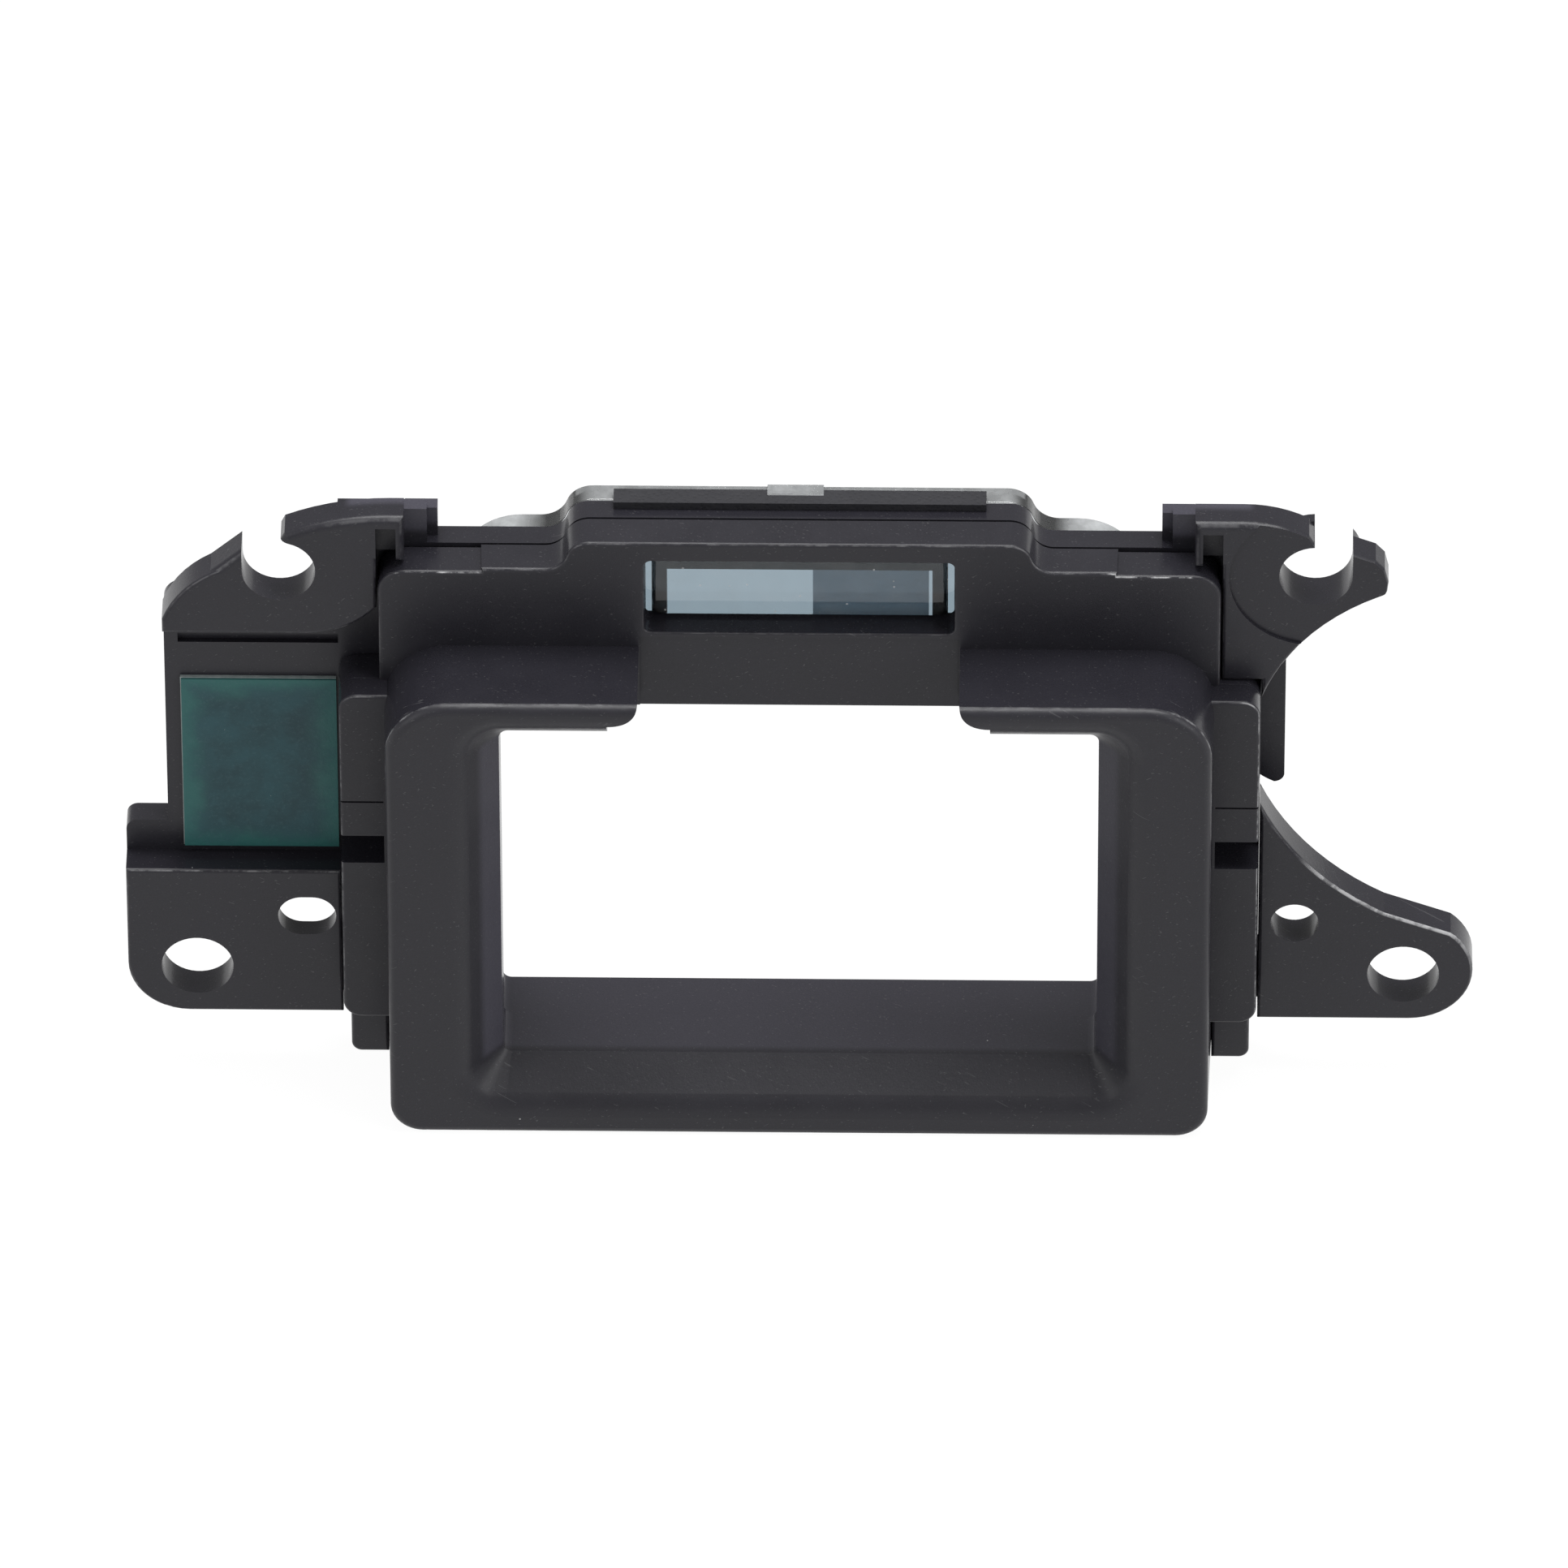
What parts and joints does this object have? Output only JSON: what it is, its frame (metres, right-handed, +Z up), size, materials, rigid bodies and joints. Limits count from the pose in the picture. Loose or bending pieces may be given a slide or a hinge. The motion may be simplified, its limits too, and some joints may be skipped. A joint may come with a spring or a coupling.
{
  "type": "viewfinder eyepiece frame",
  "caption": "Black moulded frame around a camera's viewfinder opening, with an eye-sensor window above it, side rails for an eyecup, screw ears and hooks.",
  "frame": {"origin": "under the middle of the bezel, at the height of its lowest face and halfway between the front of the bezel and the back of the light seal", "axes": "+X to the right and +Y to the back as the user's eye sees it, +Z up"},
  "size_m": [0.0518, 0.0076, 0.0273],
  "materials": {
    "bezel_plastic": "fine matt grain, edges rubbed pale",
    "frame_plastic": "smooth matt, edges rubbed pale",
    "shell_plastic": "clear, polished, dull at the gate",
    "foam": "closed-cell foam, matt",
    "tinted_pane": "polished, grey-blue tint",
    "block_plastic": "matt, dusty",
    "adhesive": "thin film, satin",
    "teal_film": "dull gloss, teal, slightly mottled"
  },
  "bodies": {
    "root": {"front_bezel": "bezel_plastic", "ear_frame": "frame_plastic", "rear_shell": "shell_plastic", "rear_light_seal": "foam", "sensor_window": "tinted_pane", "window_tape": "adhesive", "light_block": "block_plastic", "top_strip": "foam", "pad_film": "teal_film", "pad_adhesive": "adhesive"}
  },
  "joints": []
}
